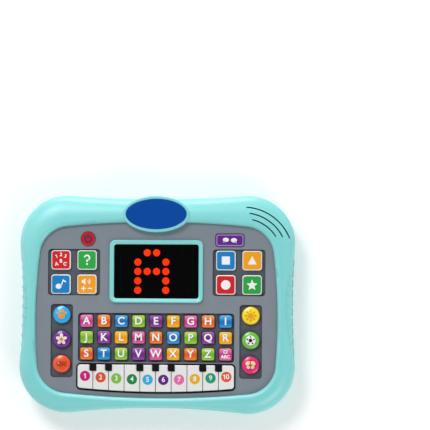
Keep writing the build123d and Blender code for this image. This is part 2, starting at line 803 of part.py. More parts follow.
def power_button():
    """Small round button, turned in one profile."""
    flange_top = deck_under_z - flange_gap
    flange_low = flange_top - flange_thickness
    top = deck_z + small_rise
    foot = dome_z + small_travel + contact_gap
    wide = power_radius + flange_reach
    lines = Polyline((0, top), (0, foot), (stem_radius, foot), (stem_radius, flange_low),
                     (wide, flange_low), (wide, flange_top), (power_radius, flange_top),
                     (power_radius, top - edge_bevel), (power_radius - edge_bevel, top), close=True)
    profile = Face(Wire(lines.edges()))
    return Pos(power_x, power_y) * revolve(Plane.XZ * profile, axis=Axis.Z)


# ---- piano -----------------------------------------------------------------------------------------
def boundary_x(after):
    """Line between one white key and the next."""
    return (after - piano_keys / 2) * piano_pitch


def make_piano_keys():
    """Comb of white keys on one rail, which turns on a pin at each end."""
    comb = prism(piano_field(-piano_side_gap, -piano_front_gap), comb_z, piano_z)
    for i in range(1, piano_keys):
        x = boundary_x(i)
        comb -= block(x - piano_slit / 2, x + piano_slit / 2, piano_end_y - 2 * piano_front_bow,
                      piano_top_y, comb_z, piano_z)
    for i in black_key_after:
        half = black_key_width / 2 + black_key_gap
        comb -= block(boundary_x(i) - half, boundary_x(i) + half,
                      piano_top_y - black_key_length - black_key_gap, piano_top_y, comb_z, piano_z)
    comb = chamfer(edges_at(comb, piano_z), edge_bevel / 2)
    reach = piano_keys * piano_pitch / 2 - piano_side_gap
    comb += block(-reach, reach, hinge_y - comb_rail_depth / 2, hinge_y + comb_rail_depth / 2,
                  comb_z - comb_rail_height, comb_z)
    comb += Pos(0, hinge_y, hinge_z) * Rot(0, 90, 0) * Cylinder(comb_pin_radius, 2 * comb_pin_reach)
    drop = (comb_dome_arm + comb_foot / 2) * math.sin(math.radians(piano_swing))
    for x, y in piano_places():
        comb += block(x - comb_foot / 2, x + comb_foot / 2, y - comb_foot / 2, y + comb_foot / 2,
                      dome_z + drop + contact_gap, comb_z)
    return comb


def make_black_keys():
    """Black surround of the piano with the short black keys on its upper edge."""
    top = deck_z + surround_rise
    ring = prism(piano_field(surround_gap + surround_width), deck_under_z, top)
    ring -= prism(piano_field(surround_gap), deck_under_z, top)
    for i in black_key_after:
        x = boundary_x(i)
        ring += block(x - black_key_width / 2, x + black_key_width / 2,
                      piano_top_y - black_key_length, piano_top_y + surround_gap + surround_width / 2,
                      deck_under_z, piano_z + black_key_rise)
    return ring


# ---- assembly --------------------------------------------------------------------------------------
parts["front_shell"] = make_front_shell()
parts["rear_shell"] = make_rear_shell()
parts["deck_plate"] = make_deck_plate()
parts["screen_bezel"] = make_screen_bezel()
parts["display_window"] = make_display_window()
parts["led_matrix"] = make_led_matrix()
parts["badge"] = make_badge()
parts["circuit_board"] = make_circuit_board()
parts["key_membrane"] = make_key_membrane()
parts["speaker"] = make_speaker()
parts["batteries"] = make_batteries()
parts["battery_contacts"] = make_battery_contacts()
parts["battery_door"] = make_battery_door()
parts["battery_door_screw"] = screw(0, door_tab_y, foot_height + door_screw_head - fit_gap,
                                    door_screw_grip, door_screw_head)
parts["case_screws"] = make_case_screws()
parts["black_keys"] = make_black_keys()
parts["piano_keys"] = make_piano_keys()

key_names = [f"key_{letter}" for letter in "abcdefghijklmnopqrstuvwxyz"] + ["key_mode"]
for name, (x, y) in zip(key_names, key_places()):
    parts[name] = letter_key(x, y)

left_squares = ("learn_button", "quiz_button", "music_button", "volume_button")
right_squares = ("triangle_button", "square_button", "star_button", "circle_button")
left_order = (1, 0, 3, 2)
for name, place in zip(left_squares, left_order):
    parts[name] = square_button(*square_places(-1)[place])
for name, place in zip(right_squares, left_order):
    parts[name] = square_button(*square_places(1)[place])

for name, (x, y) in zip(("sky_button", "purple_button", "orange_button"), round_places(-1)):
    parts[name] = round_button(x, y)
for name, (x, y) in zip(("yellow_button", "green_button", "magenta_button"), round_places(1)):
    parts[name] = round_button(x, y)
parts["language_button"] = language_button()
parts["power_button"] = power_button()

os.makedirs("parts", exist_ok=True)
for name, solid in parts.items():
    export_step(solid, f"parts/{name}.step")
print(len(parts), "parts written")
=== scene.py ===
# %% [markdown]
# A flat learning tablet for small children: a crowned teal case round a grey deck, with printed keys,
# round picture buttons, a small piano and a dot display behind dark plastic. The shapes that carry and
# move come from the imported model and stay as they are. What is left to do here is how it looks: the
# plastics, the prints on the buttons, the lit display and the light. The first step loads the model and
# keeps its box, and the size of the dressed tablet is printed at the end.

# %% Load the imported model
import bpy
import json
import math
from mathutils import Matrix, Vector

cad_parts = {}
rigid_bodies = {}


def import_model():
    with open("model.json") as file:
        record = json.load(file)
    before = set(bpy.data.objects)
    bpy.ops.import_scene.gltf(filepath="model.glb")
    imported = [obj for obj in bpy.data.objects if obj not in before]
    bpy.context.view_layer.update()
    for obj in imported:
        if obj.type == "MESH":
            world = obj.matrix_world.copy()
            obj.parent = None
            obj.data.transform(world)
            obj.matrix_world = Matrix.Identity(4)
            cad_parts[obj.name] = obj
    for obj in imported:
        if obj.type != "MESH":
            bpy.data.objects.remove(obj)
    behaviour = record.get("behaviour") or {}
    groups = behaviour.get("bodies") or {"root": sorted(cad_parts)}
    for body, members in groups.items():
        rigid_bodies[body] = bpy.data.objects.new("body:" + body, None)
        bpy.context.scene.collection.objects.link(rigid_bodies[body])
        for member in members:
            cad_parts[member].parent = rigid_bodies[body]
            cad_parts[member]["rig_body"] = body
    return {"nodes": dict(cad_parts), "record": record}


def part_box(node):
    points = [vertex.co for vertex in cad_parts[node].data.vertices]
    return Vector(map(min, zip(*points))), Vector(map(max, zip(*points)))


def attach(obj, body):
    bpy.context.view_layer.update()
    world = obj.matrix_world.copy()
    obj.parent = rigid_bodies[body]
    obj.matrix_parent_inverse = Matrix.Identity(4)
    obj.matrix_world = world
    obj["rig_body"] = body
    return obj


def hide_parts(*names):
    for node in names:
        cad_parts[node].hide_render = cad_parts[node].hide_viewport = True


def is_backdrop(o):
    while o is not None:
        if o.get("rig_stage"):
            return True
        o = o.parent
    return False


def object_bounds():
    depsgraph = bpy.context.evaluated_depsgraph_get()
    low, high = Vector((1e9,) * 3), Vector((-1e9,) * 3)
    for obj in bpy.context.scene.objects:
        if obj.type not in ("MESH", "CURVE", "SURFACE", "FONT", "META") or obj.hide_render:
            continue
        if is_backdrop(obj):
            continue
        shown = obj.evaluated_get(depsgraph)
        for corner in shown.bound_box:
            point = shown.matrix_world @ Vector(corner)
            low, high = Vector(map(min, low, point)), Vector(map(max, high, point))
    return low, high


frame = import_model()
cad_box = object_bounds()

MM = 0.001
nodes = frame["nodes"]

# %% [markdown]
# Moulders and printers note their colours as hex codes, which are made for screens. Blender mixes light,
# so it needs the linear values. One function does that for every colour below.

# %% From a hex code to linear light
def linear(code):
    """An sRGB hex colour as linear red, green, blue and alpha."""
    channels = [int(code[i:i + 2], 16) / 255 for i in (0, 2, 4)]
    return [c / 12.92 if c <= 0.04045 else ((c + 0.055) / 1.055) ** 2.4 for c in channels] + [1.0]


print("teal in linear light:", [round(c, 3) for c in linear("80D9D9")])

# %% [markdown]
# Materials are small trees of nodes. Setting a node up takes the same three moves each time: make it,
# set its options, and fill or link its inputs. One function does all three, for any kind of node. An
# input takes a number, a hex colour, the output of another node, or a whole node, which then stands for
# its first output in use. Two kinds come back all the time: a Mix node blends two colours by a pattern,
# and a Map Range node set to SMOOTHSTEP turns a run of numbers into a soft edge.

# %% Adding one node
FACTOR, FIRST, SECOND = 0, 6, 7          # a Mix node's inputs when it mixes colours


def add(tree, kind, inputs=None, **settings):
    """Adds one node, sets its properties, and fills or links its inputs."""
    node = tree.nodes.new(kind)
    for name, value in settings.items():
        setattr(node, name, value)
    for name, value in (inputs or {}).items():
        if isinstance(value, bpy.types.Node):
            value = next(output for output in value.outputs if output.enabled)
        if isinstance(value, bpy.types.NodeSocket):
            tree.links.new(value, node.inputs[name])
        else:
            node.inputs[name].default_value = linear(value) if isinstance(value, str) else value
    return node


def new_material(name):
    """A material with an empty tree, and a function that closes it with a shader."""
    material = bpy.data.materials.new(name)
    material.use_nodes = True
    tree = material.node_tree
    tree.nodes.clear()
    output = add(tree, "ShaderNodeOutputMaterial")

    def close(shader):
        tree.links.new(shader.outputs[0], output.inputs[0])
        return material
    return tree, close


print("a Mix node takes its pattern and two colours at inputs", FACTOR, FIRST, SECOND)

# %% [markdown]
# No moulded surface is quite flat. The steel of the mould is polished or etched by spark, and the plastic
# copies it as an orange peel of one grain size. Modelling that would take millions of faces, so it is a
# bump: noise whose scale is one over the grain size. A real grain of 0.1 to 0.3 mm is too fine to show
# from here, so each grain is drawn several times as coarse as it is, just enough to break up the gloss.

# %% The skin of a moulding
def peel(tree, place, grain_mm, depth_mm):
    """Bump for a moulded skin: noise of one grain size and depth."""
    noise = add(tree, "ShaderNodeTexNoise", {"Vector": place, "Scale": 1 / (grain_mm * MM), "Detail": 2.0})
    return add(tree, "ShaderNodeBump", {"Height": noise, "Distance": depth_mm * MM})


print("a grain of 0.9 mm has a noise scale of", round(1 / (0.9 * MM)), "per metre")

# %% [markdown]
# ABS is the plastic of most toys: tough, and glossy straight from a polished mould. Its refractive index
# is about 1.54. Two close tones drift over 38 mm, the way pigment spreads in the melt, and the gloss
# varies over 6 mm, as it does once hands have been on it. Both could come from a painted image, but that
# has one sharpness and needs seams, and noise has neither. The same recipe serves silicone, epoxy and
# printing ink, with another roughness.

# %% Moulded plastic
ABS_IOR = 1.54
TONE_DRIFT, GLOSS_DRIFT = 38, 6          # size in mm of the drift in colour and in gloss


def moulded(name, body, drift, roughness, grain_mm=0.9, depth_mm=0.01, coat=0.0):
    """Moulded plastic in two close tones, with an orange-peel skin."""
    tree, close = new_material(name)
    place = add(tree, "ShaderNodeTexCoord").outputs["Object"]
    melt, wear = [add(tree, "ShaderNodeTexNoise", {"Vector": place, "Scale": 1 / (size * MM), "Detail": 3.0})
                  for size in (TONE_DRIFT, GLOSS_DRIFT)]
    tone = add(tree, "ShaderNodeMix", {FACTOR: melt, FIRST: body, SECOND: drift}, data_type="RGBA")
    gloss = add(tree, "ShaderNodeMapRange", {"Value": wear, "To Min": roughness - 0.05,
                                             "To Max": roughness + 0.07})
    return close(add(tree, "ShaderNodeBsdfPrincipled",
                     {"Base Color": tone, "Roughness": gloss, "IOR": ABS_IOR, "Coat Weight": coat,
                      "Coat Roughness": 0.08, "Normal": peel(tree, place, grain_mm, depth_mm)}))


def dress(material, *names):
    """Gives CAD nodes a material."""
    for name in names:
        slots = nodes[name].data.materials
        slots.clear()
        slots.append(material)
    print(material.name, "on", len(names), "nodes")


print("index of ABS:", ABS_IOR)

# %% [markdown]
# The case is two shells of one teal ABS. The ring round the display is the same plastic, and so is the
# battery door underneath. It is satin rather than mirror bright: small hands leave fewer marks on that.

# %% Teal shells
teal = moulded("abs_moulded_teal", "80D9D9", "8BDEDE", 0.34, grain_mm=1.4, depth_mm=0.02)
dress(teal, "front_shell", "rear_shell", "battery_door", "screen_bezel")

# %% [markdown]
# The deck is one grey moulding, etched by spark to a fine matt texture. Its five sunk trays are coloured
# darker as painted shade in the recesses. A second object would only add faces in the same place, so the
# shader tells the trays apart by their height: they lie 2 mm lower than the deck.

# %% Grey deck with painted shade in its trays
deck_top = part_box("deck_plate")[1].z
TRAY_DEPTH = 2.0 * MM
DECK_DRIFT = 30          # size in mm of the drift in colour


def deck_with_painted_tray_shade():
    """Grey ABS whose trays, told by their height, are darker with painted shade."""
    tree, close = new_material("abs_spark_etched_grey_with_painted_tray_shade")
    place = add(tree, "ShaderNodeTexCoord").outputs["Object"]
    height = add(tree, "ShaderNodeSeparateXYZ", {0: place}).outputs["Z"]
    # 1 on the deck and 0 down in the sunk trays, where the painted shade goes
    upper = add(tree, "ShaderNodeMapRange",
                {"Value": height, "From Min": deck_top - 0.9 * TRAY_DEPTH,
                 "From Max": deck_top - 0.1 * TRAY_DEPTH}, interpolation_type="SMOOTHSTEP")
    melt = add(tree, "ShaderNodeTexNoise", {"Vector": place, "Scale": 1 / (DECK_DRIFT * MM), "Detail": 3.0})
    # the first pair of tones is painted shade for the trays, the second is the deck's own grey
    trays, deck = [add(tree, "ShaderNodeMix", {FACTOR: melt, FIRST: body, SECOND: drift}, data_type="RGBA")
                   for body, drift in (("4D525C", "535862"), ("7C858F", "828A93"))]
    tone = add(tree, "ShaderNodeMix", {FACTOR: upper, FIRST: trays, SECOND: deck}, data_type="RGBA")
    return close(add(tree, "ShaderNodeBsdfPrincipled",
                     {"Base Color": tone, "Roughness": 0.5, "IOR": ABS_IOR,
                      "Normal": peel(tree, place, 0.45, 0.02)}))


dress(deck_with_painted_tray_shade(), "deck_plate")
print("deck top at", round(deck_top / MM, 2), "mm")

# %% [markdown]
# A dark line with round corners runs round the print on each letter key; it is painted shade for the gap
# round the key. It could be a thin plate on each of the 27 keys, but a distance costs no faces: take how far
# a point lies from the middle along each side of the key, raise both to the eighth power, add them and take
# the eighth root. With 2 in place of 8 that would be a circle, and with a large number a sharp square.

# %% Distance in rounded squares
CORNER = 8


def squared_reach(tree, axes):
    """How far a point lies from the middle of a unit square, in rounded squares."""
    powers = []
    for axis in ("X", "Y"):
        middle = add(tree, "ShaderNodeMath", {0: axes[axis], 1: 0.5}, operation="SUBTRACT")
        side = add(tree, "ShaderNodeMath", {0: middle}, operation="ABSOLUTE")
        powers.append(add(tree, "ShaderNodeMath", {0: side, 1: CORNER}, operation="POWER"))
    total = add(tree, "ShaderNodeMath", dict(enumerate(powers)), operation="ADD")
    return add(tree, "ShaderNodeMath", {0: total, 1: 1 / CORNER}, operation="POWER")


print("the line turns its corner at", round(0.5 ** (1 / CORNER), 3), "of the way to a sharp one")

# %% [markdown]
# Each letter key is a small ABS cap with a printed top under clear lacquer. Its top is painted lighter
# along its upper and lower edge, as painted highlight, and deeper across the middle, which makes the key
# look like a cushion. An image could hold that, but a colour ramp does too and stays smooth at any size.
# "Generated" coordinates run from 0 to 1 over each key, so one material serves every key of its colour. The
# flange hidden under the deck is part of the key, so the cap ends at 0.44.

# %% Printed key caps
# Each colour lists a light tone of painted highlight, the deep tone of the print, and a dark tone of painted
# shade for the line round the key and for its letter's shadow.
KEY_COLOURS = {
    "pink": ("F78CC4", "D3308C", "6E1148"), "orange": ("FFA84A", "EA5A1C", "7A2C0C"),
    "blue": ("52C1F5", "0E74C4", "0A3B70"), "lime": ("CBE84E", "76B82E", "38601A"),
    "purple": ("B065C4", "74208A", "3A1048"), "yellow": ("FFDB3A", "F79E0C", "80560A")}
# painted highlight: how much of the light tone lies over the deep one, from the key's lower to its upper edge
PAINTED_HIGHLIGHT = ((0.12, 0.55), (0.34, 0.10), (0.52, 0.0), (0.74, 0.62), (0.92, 0.95))   # light tone up a key
CAP_EDGE = 0.44          # from the middle of a key to its cap's edge, in its unit square
# painted shade: a dark line just inside the cap's edge stands for the gap round the key
PAINTED_SHADE_LINE = (0.055, 0.02)     # the dark line starts and is full this far inside that edge


def lacquered_key_with_painted_light(name, light, deep, rim):
    """A key top with painted highlight at its upper and lower edge and a line of painted shade round it,
    under a clear lacquer.
    """
    tree, close = new_material(name)
    spot = add(tree, "ShaderNodeTexCoord").outputs
    axes = add(tree, "ShaderNodeSeparateXYZ", {0: spot["Generated"]}).outputs
    band = add(tree, "ShaderNodeValToRGB", {0: axes["Y"]})
    stops = band.color_ramp.elements
    for position, amount in PAINTED_HIGHLIGHT:
        stops.new(position).color = (amount, amount, amount, 1)
    stops.remove(stops[0])
    # painted highlight laid over the print's deep tone
    painted_highlight_tone = add(tree, "ShaderNodeMix", {FACTOR: band, FIRST: deep, SECOND: light}, data_type="RGBA")
    # painted shade: the dark tone in a line round the cap's edge
    line = add(tree, "ShaderNodeMapRange",
               {"Value": squared_reach(tree, axes), "From Min": CAP_EDGE - PAINTED_SHADE_LINE[0],
                "From Max": CAP_EDGE - PAINTED_SHADE_LINE[1]}, interpolation_type="SMOOTHSTEP")
    tone = add(tree, "ShaderNodeMix", {FACTOR: line, FIRST: painted_highlight_tone, SECOND: rim}, data_type="RGBA")
    return close(add(tree, "ShaderNodeBsdfPrincipled",
                     {"Base Color": tone, "Roughness": 0.3, "IOR": ABS_IOR, "Coat Weight": 0.35,
                      "Coat Roughness": 0.12, "Normal": peel(tree, spot["Object"], 0.8, 0.006)}))


print("print colours:", ", ".join(KEY_COLOURS))

# %% [markdown]
# Six colours serve 27 keys. The rows are written as one string of letters and one of colours, which is
# easier to compare with the real keypad than 27 separate lines.

# %% Colours along the key rows
key_caps = {tint: lacquered_key_with_painted_light(f"abs_lacquered_{tint}", *shades) for tint, shades in KEY_COLOURS.items()}
KEY_ROWS = (("abcdefghi", "pink orange blue lime purple yellow pink orange blue"),
            ("jklmnopqr", "lime purple yellow pink orange blue lime purple yellow"),
            ("stuvwxyz", "orange blue lime purple pink yellow orange lime"))
key_tints = {"key_" + letter: tint for letters, tints in KEY_ROWS
             for letter, tint in zip(letters, tints.split())}
for tint, cap in key_caps.items():
    dress(cap, *[node for node, colour in key_tints.items() if colour == tint])
dress(key_caps["pink"], "key_mode")

# %% [markdown]
# The round buttons are coloured right through. Their edge is painted deeper, as painted shade for the light
# that is lost in the gap round them. That gap is too narrow for soft light to draw well, so the distance
# from the button's axis gives the painted shade.

# %% Round buttons
# the second colour of each button is painted shade for its edge
ROUND_BUTTONS = {"sky_button": ("10B0EE", "0C6FA8"), "purple_button": ("6E0F8E", "3E0E58"),
                 "orange_button": ("F4521E", "B4340E"), "yellow_button": ("FFE000", "D89C00"),
                 "green_button": ("72BE3E", "3F8420"), "magenta_button": ("E60A72", "9C0850"),
                 "power_button": ("C8202C", "7E0E18")}


def from_axis(tree, spot):
    """Distance from the middle of a piece's unit square, 0 in the middle and 0.5 at its sides."""
    flat = add(tree, "ShaderNodeMapping", {"Vector": spot["Generated"], "Location": (-0.5, -0.5, 0.0),
                                           "Scale": (1, 1, 0)})
    return add(tree, "ShaderNodeVectorMath", {0: flat}, operation="LENGTH")


def polished_button_with_painted_shade(name, body, edge):
    """Polished ABS, deeper in colour at a round button's edge by painted shade."""
    tree, close = new_material(name)
    spot = add(tree, "ShaderNodeTexCoord").outputs
    # painted shade: darker towards the button's edge
    rim = add(tree, "ShaderNodeMapRange", {"Value": from_axis(tree, spot), "From Min": 0.38,
                                           "From Max": 0.46}, interpolation_type="SMOOTHSTEP")
    tone = add(tree, "ShaderNodeMix", {FACTOR: rim, FIRST: body, SECOND: edge}, data_type="RGBA")
    return close(add(tree, "ShaderNodeBsdfPrincipled",
                     {"Base Color": tone, "Roughness": 0.26, "IOR": ABS_IOR, "Coat Weight": 0.3,
                      "Coat Roughness": 0.1, "Normal": peel(tree, spot["Object"], 1.2, 0.008)}))


for node, (body, edge) in ROUND_BUTTONS.items():
    dress(polished_button_with_painted_shade("abs_polished_" + node, body, edge), node)

# %% [markdown]
# The eight square buttons are white caps. Their colour is printed on top, and the white left round the
# print is their border, so the caps themselves need no pattern and the prints come later as thin plates.
# The language button is violet all through.

# %% Square buttons and language button
SQUARE_BUTTONS = {"learn_button": "DE1624", "quiz_button": "26AE44", "music_button": "0484CE",
                  "volume_button": "FEA80C", "square_button": "0484CE", "triangle_button": "FEA80C",
                  "circle_button": "DE1624", "star_button": "26AA44"}
dress(moulded("abs_moulded_white", "FBFBFA", "F6F6F5", 0.28), *SQUARE_BUTTONS)
dress(moulded("abs_moulded_violet", "6A2A92", "622488", 0.28, coat=0.3), "language_button")

# %% [markdown]
# Piano keys want the look of polished keys: white ABS with a finer skin and lower roughness, in a black
# surround. The badge is deep blue and glossy. A thin coat stands for its lacquer.

# %% Piano and badge
dress(moulded("abs_polished_white", "F2F2F0", "EDEDEB", 0.2, depth_mm=0.006), "piano_keys")
dress(moulded("abs_polished_black", "101012", "161618", 0.22), "black_keys")
dress(moulded("abs_lacquered_blue", "034CA8", "0248A0", 0.2, depth_mm=0.004, coat=0.15), "badge")

# %% [markdown]
# The display window is smoked acrylic: nearly black clear sheet with a polished face, index 1.49. Real
# glass shading would need many light paths for a sheet this dark. A dark shader that lets a third of the
# light through each face gives the same: dots that are off vanish, and lit ones show.

# %% Smoked window
def smoked_acrylic():
    """Nearly black acrylic that passes a third of the light at each face."""
    tree, close = new_material("acrylic_smoked")
    place = add(tree, "ShaderNodeTexCoord").outputs["Object"]
    return close(add(tree, "ShaderNodeBsdfPrincipled",
                     {"Base Color": "020203", "Roughness": 0.06, "IOR": 1.49, "Alpha": 0.65,
                      "Normal": peel(tree, place, 12.0, 0.01)}))


dress(smoked_acrylic(), "display_window")

# %% [markdown]
# Metal is only seen underneath and inside: zinc-plated screws, nickel-plated springs, the speaker's
# pressed steel basket. Metal shows its colour in its reflection, so metallic is 1 and the index stays as
# it is. Barrel plating leaves small lighter and darker patches, drawn as noise between two tones; brushed
# lines would be wrong here.

# %% Metals
def plated_steel(name, body, dark, roughness, grain_mm):
    """Plated or bare steel in two tones of patches."""
    tree, close = new_material(name)
    place = add(tree, "ShaderNodeTexCoord").outputs["Object"]
    patches = add(tree, "ShaderNodeTexNoise", {"Vector": place, "Scale": 1 / (grain_mm * MM), "Detail": 4.0})
    tone = add(tree, "ShaderNodeMix", {FACTOR: patches, FIRST: body, SECOND: dark}, data_type="RGBA")
    return close(add(tree, "ShaderNodeBsdfPrincipled",
                     {"Base Color": tone, "Metallic": 1.0, "Roughness": roughness,
                      "Normal": peel(tree, place, grain_mm, 0.01)}))


dress(plated_steel("steel_zinc_plated", "B8B8B4", "8C8C88", 0.35, 0.6), "case_screws", "battery_door_screw")
dress(plated_steel("steel_nickel_plated", "D0D0CA", "A8A8A2", 0.25, 0.8), "battery_contacts")
dress(plated_steel("steel_pressed", "A0A09C", "6E6E6A", 0.45, 1.5), "speaker")

# %% [markdown]
# The rest of the inside shows only when the case is open or a key is pressed: dark silicone sheet under
# the keys, a board with green solder mask, printed battery cans and the black potting of the dot module.
# All are moulded, dipped or printed skins, so the recipe for plastic serves them too.

# %% Inside the case
dress(moulded("silicone_moulded_dark", "34363A", "2E3034", 0.6), "key_membrane")
dress(moulded("solder_mask_green", "1F5C3B", "236743", 0.35), "circuit_board")
dress(moulded("steel_printed_blue", "2C5C9E", "264F8C", 0.3), "batteries")
dress(moulded("epoxy_potting_black", "060606", "0A0A0A", 0.6), "led_matrix")

# %% [markdown]
# The legends come next. On the real tablet they are pad prints: a film of ink some hundredths of a
# millimetre thick. Each print here is its own thin plate, 0.06 mm high, so that it catches no shadow and
# still stands clear of the plastic. Inks are named like pots on a printer's shelf, and a pot is mixed
# when it is first asked for: its second tone is the same colour, a twentieth darker.

# %% Inks
PRINT = 0.06 * MM
INKS = {"white": "FFFFFF", "navy": "16294A", "lilac": "B79AD0", "black": "1A1A1A",
        "magenta": "D5087F", "vermilion": "E8502A", "grass": "86C440", "forest": "0A8A42",
        "sky": "2AB4E8", "violet": "5E1A86", "rose": "F070B0", "sunflower": "F5B81E",
        "sea": "10A078", "coral": "EC5A2C", "honey": "F6A52C", "cream": "F3E9DC",
        "pumpkin": "F08A2C", "rust": "B5401C", "straw": "F9E3B0", "butter": "F7E2A6", "tan": "B8682A"}
INKS.update({tint + " shade": shades[2] for tint, shades in KEY_COLOURS.items()})
INKS.update({node.replace("_", " "): code for node, code in SQUARE_BUTTONS.items()})
SECOND_TONE = 0.95       # brightness of an ink's second tone beside its first
pots = {}


def ink(name):
    """The ink of that name, mixed when it is first asked for."""
    if name not in pots:
        code = INKS[name]
        darker = "".join(f"{int(int(code[i:i + 2], 16) * SECOND_TONE):02X}" for i in (0, 2, 4))
        pots[name] = moulded("ink_" + name.replace(" ", "_"), code, darker, 0.38, grain_mm=0.5,
                             depth_mm=0.003)
    return pots[name]


print("inks on the shelf:", len(INKS))

# %% [markdown]
# A print must move with its button. It could be joined to the button's mesh, but it stays a piece of its
# own that rides on the same body, so the imported shape is left as it is. One function does that for every
# print.

# %% Printing on a node
prints = []


def slot_of(node):
    """The finish that the model's record gives a node."""
    return next(s["material_slot"] for s in frame["record"]["subparts"] if s["node"] == node)


def printed_on(node, piece, pot):
    """Inks a new piece and lets it ride on a CAD node's body."""
    piece.data.materials.clear()
    piece.data.materials.append(ink(pot) if isinstance(pot, str) else pot)
    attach(piece, nodes[node]["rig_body"])
    "piano_white" if pot == "white" else slot_of(node)
    prints.append(piece.name)


LAYER = 0.6 * PRINT      # how much higher each layer of ink starts


def top_of(node, dx=0.0, dy=0.0, layer=0):
    """A point on a node's top, off its middle by millimetres and up by layers of ink."""
    low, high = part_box(node)
    return Vector(((low.x + high.x) / 2 + dx * MM, (low.y + high.y) / 2 + dy * MM,
                   high.z + layer * LAYER))


print("prints on the display module belong to", slot_of("led_matrix"))

# %% [markdown]
# Signs are drawn as outlines in millimetres, the way a sign cutter would plot them: circles, rounded
# rectangles and polygons. An image could show them too, but outlines stay sharp from any distance.

# %% Outlines
def polygon(points):
    """An outline from points in millimetres."""
    return [(x * MM, y * MM) for x, y in points]


def circle(radius, count=40, squash=1.0):
    """A circle, or an ellipse that is lower than it is wide."""
    turns = [2 * math.pi * i / count for i in range(count)]
    return polygon([(radius * math.cos(a), squash * radius * math.sin(a)) for a in turns])


def rounded(width, depth, radius, steps=7):
    """A rectangle with round corners."""
    points = []
    for quarter, (sx, sy) in enumerate(((1, 1), (-1, 1), (-1, -1), (1, -1))):
        for i in range(steps + 1):
            angle = math.pi / 2 * (quarter + i / steps)
            points.append((sx * (width / 2 - radius) + radius * math.cos(angle),
                           sy * (depth / 2 - radius) + radius * math.sin(angle)))
    return polygon(points)


def arc_band(radius, width, start, end, steps=24):
    """An open ring between two angles in degrees."""
    turns = [math.radians(start + (end - start) * i / steps) for i in range(steps + 1)]
    return polygon([(r * math.cos(a), r * math.sin(a))
                    for r, way in ((radius + width / 2, 1), (radius - width / 2, -1)) for a in turns[::way]])


print("points in a circle:", len(circle(1)), "and in a rounded square:", len(rounded(10, 10, 1)))

# %% [markdown]
# The raised ring round the display is dished: its top slopes down towards the window, so that small
# fingers meet no edge. That slope turns its lower bar to the light and its upper bar away from it. The
# packed ring has the right outline and height and a plain crown, and this piece stands for it. It could
# be lofted along a curve, but rings of points make the slope and the round crest from one list.

# %% Dished ring round the display
RING_WIDTH = 3.8 * MM
RING_CORNER = 5.2 * MM
RING_TIGHTEN = 0.75      # how fast its corners tighten inwards
RING_CREASE = 40         # degrees: a sharper edge than this is a crease
RING_PROFILE = ((0.0, 0.0), (0.0, 0.68), (0.03, 0.82), (0.09, 0.93), (0.17, 0.99), (0.25, 1.0), (0.33, 0.98),
                (0.42, 0.93), (0.9, 0.56), (0.96, 0.5), (1.0, 0.4), (1.0, 0.0))


def dished_ring(node, steps=9):
    """A closed ring inside a node's box: RING_PROFILE gives its section, inwards and upwards from 0 to 1."""
    low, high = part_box(node)
    size = high - low
    vertices, faces = [], []
    for inwards, upwards in RING_PROFILE:
        inset = inwards * RING_WIDTH
        lengths = (size.x - 2 * inset, size.y - 2 * inset, RING_CORNER - RING_TIGHTEN * inset)
        outline = rounded(*[length / MM for length in lengths], steps)
        vertices += [Vector(((low.x + high.x) / 2 + x, (low.y + high.y) / 2 + y, low.z + upwards * size.z))
                     for x, y in outline]
    around, loops = len(vertices) // len(RING_PROFILE), len(RING_PROFILE)
    for loop in range(loops):
        a, b = loop * around, (loop + 1) % loops * around
        faces += [(a + i, a + (i + 1) % around, b + (i + 1) % around, b + i) for i in range(around)]
    mesh = bpy.data.meshes.new("display_ring")
    mesh.from_pydata(vertices, [], faces)
    mesh.shade_smooth()
    mesh.set_sharp_from_angle(angle=math.radians(RING_CREASE))
    mesh.materials.append(teal)
    piece = bpy.data.objects.new("display_ring", mesh)
    bpy.context.scene.collection.objects.link(piece)
    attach(piece, nodes[node]["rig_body"])
    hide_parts(node)
    print("ring section points:", loops, "round", around, "points")


dished_ring("screen_bezel")

# %% [markdown]
# A filled 2D curve turns outlines into a plate with sharp edges and true holes, which is hard to build
# face by face. Its mesh is taken once and the curve is thrown away, so that the print is plain geometry.

# %% Flat plates
def solid_from(curve, name, base, thickness, turn=0.0):
    """The mesh of a curve or text whose underside lies at base."""
    holder = bpy.data.objects.new(name, curve)
    bpy.context.scene.collection.objects.link(holder)
    holder.location = base + Vector((0, 0, thickness / 2))
    holder.rotation_euler.z = turn
    bpy.context.view_layer.update()
    mesh = bpy.data.meshes.new_from_object(holder.evaluated_get(bpy.context.evaluated_depsgraph_get()))
    mesh.transform(holder.matrix_world)
    bpy.data.objects.remove(holder)
    piece = bpy.data.objects.new(name, mesh)
    bpy.context.scene.collection.objects.link(piece)
    return piece


def plate(name, rings, base, thickness=PRINT):
    """A flat print from closed outlines: the first is its edge, the others are holes."""
    curve = bpy.data.curves.new(name, "CURVE")
    curve.dimensions = "2D"
    curve.fill_mode = "BOTH"
    curve.extrude = thickness / 2
    for ring in rings:
        spline = curve.splines.new("POLY")
        spline.points.add(len(ring) - 1)
        for point, (x, y) in zip(spline.points, ring):
            point.co = (x, y, 0, 1)
        spline.use_cyclic_u = True
    return solid_from(curve, name, base, thickness)


def sign(name, node, rings, dx=0.0, dy=0.0, pot="white", layer=1):
    """A flat print on a node's top, off its middle by millimetres."""
    printed_on(node, plate(name, rings, top_of(node, dx, dy, layer)), pot)


print("a print is", PRINT / MM, "mm thick, and each layer starts", round(LAYER / MM, 3), "mm higher")

# %% [markdown]
# Toy lettering is bold and round. Letters could be drawn point by point, but Blender's built-in font is
# close once its outline is thickened by half a millimetre. Its capitals are 0.7 of its nominal size, so
# the size is worked out from the wanted height.

# %% Lettering
CAPITAL = 0.7            # height of the font's capitals for a nominal size of 1


